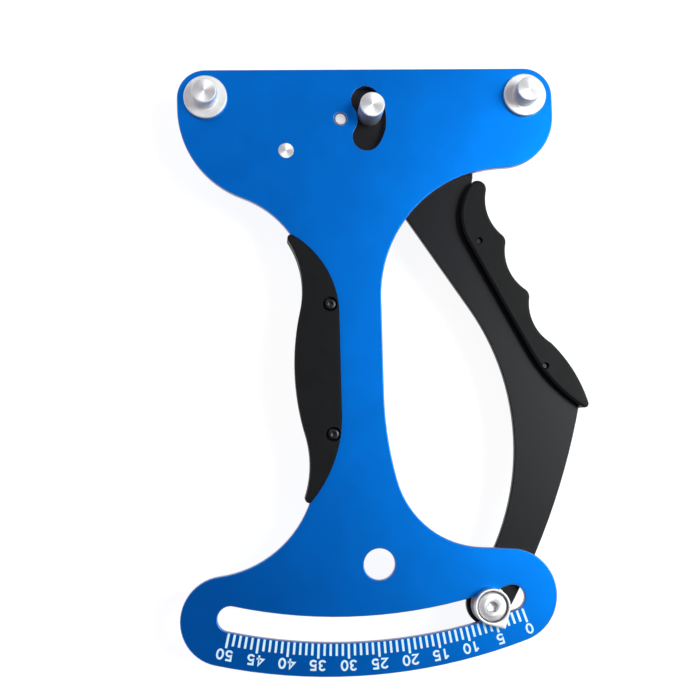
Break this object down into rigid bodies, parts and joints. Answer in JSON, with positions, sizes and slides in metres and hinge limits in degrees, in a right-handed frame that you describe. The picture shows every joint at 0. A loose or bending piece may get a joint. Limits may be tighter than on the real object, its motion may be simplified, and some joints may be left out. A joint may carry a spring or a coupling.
{
  "type": "spoke tension meter",
  "caption": "Hand-squeezed spoke tension meter: plate with fixed posts and an arc scale, sprung lever with moving post and pointer, two moulded grips.",
  "frame": {"origin": "midway between the two fixed posts, on the upper face of their flanges", "axes": "+X from the left fixed post to the right one, +Y away from the scale, +Z out of the front face along the posts"},
  "size_m": [0.1328, 0.1949, 0.0277],
  "materials": {
    "blue_anodised_aluminium": "satin blue anodised",
    "black_coated_steel": "satin black",
    "black_nylon": "matte moulded",
    "bright_steel": "turned, bright",
    "dark_steel": "black oxide",
    "spring_wire": "drawn wire",
    "bronze": "sintered",
    "nylon_washer": "natural"
  },
  "bodies": {
    "frame": {"frame_plate": "blue_anodised_aluminium", "left_fixed_post": "bright_steel", "left_post_washer": "bright_steel", "left_post_screw": "dark_steel", "right_fixed_post": "bright_steel", "right_post_washer": "bright_steel", "right_post_screw": "dark_steel", "pivot_screw": "dark_steel", "pivot_front_washer": "nylon_washer", "pivot_rear_washer": "nylon_washer", "spring_guide_sleeve": "nylon_washer", "spring_cap_washer": "bright_steel", "spring_anchor_pin": "bright_steel", "anchor_clip": "dark_steel", "torsion_spring": "spring_wire", "palm_grip": "black_nylon", "palm_grip_upper_screw": "dark_steel", "palm_grip_lower_screw": "dark_steel"},
    "lever": {"lever_plate": "black_coated_steel", "lever_bush": "bronze", "moving_post": "bright_steel", "moving_post_screw": "dark_steel", "finger_grip": "black_nylon", "finger_grip_upper_screw": "dark_steel", "finger_grip_lower_screw": "dark_steel", "pointer": "bright_steel", "pointer_spacer": "bright_steel", "pointer_screw": "bright_steel", "lever_glide_washer": "nylon_washer"}
  },
  "joints": [
    {"name": "lever_pivot", "type": "hinge", "parent": "frame", "child": "lever", "pos_m": [-0.00866, -0.00722, -0.00575], "axis": [0, 0, -1], "range_deg": [-2.5, 29.2], "stiffness_Nm_per_rad": 1.13, "springref_deg": -30.94, "deforming": ["torsion_spring"]}
  ]
}
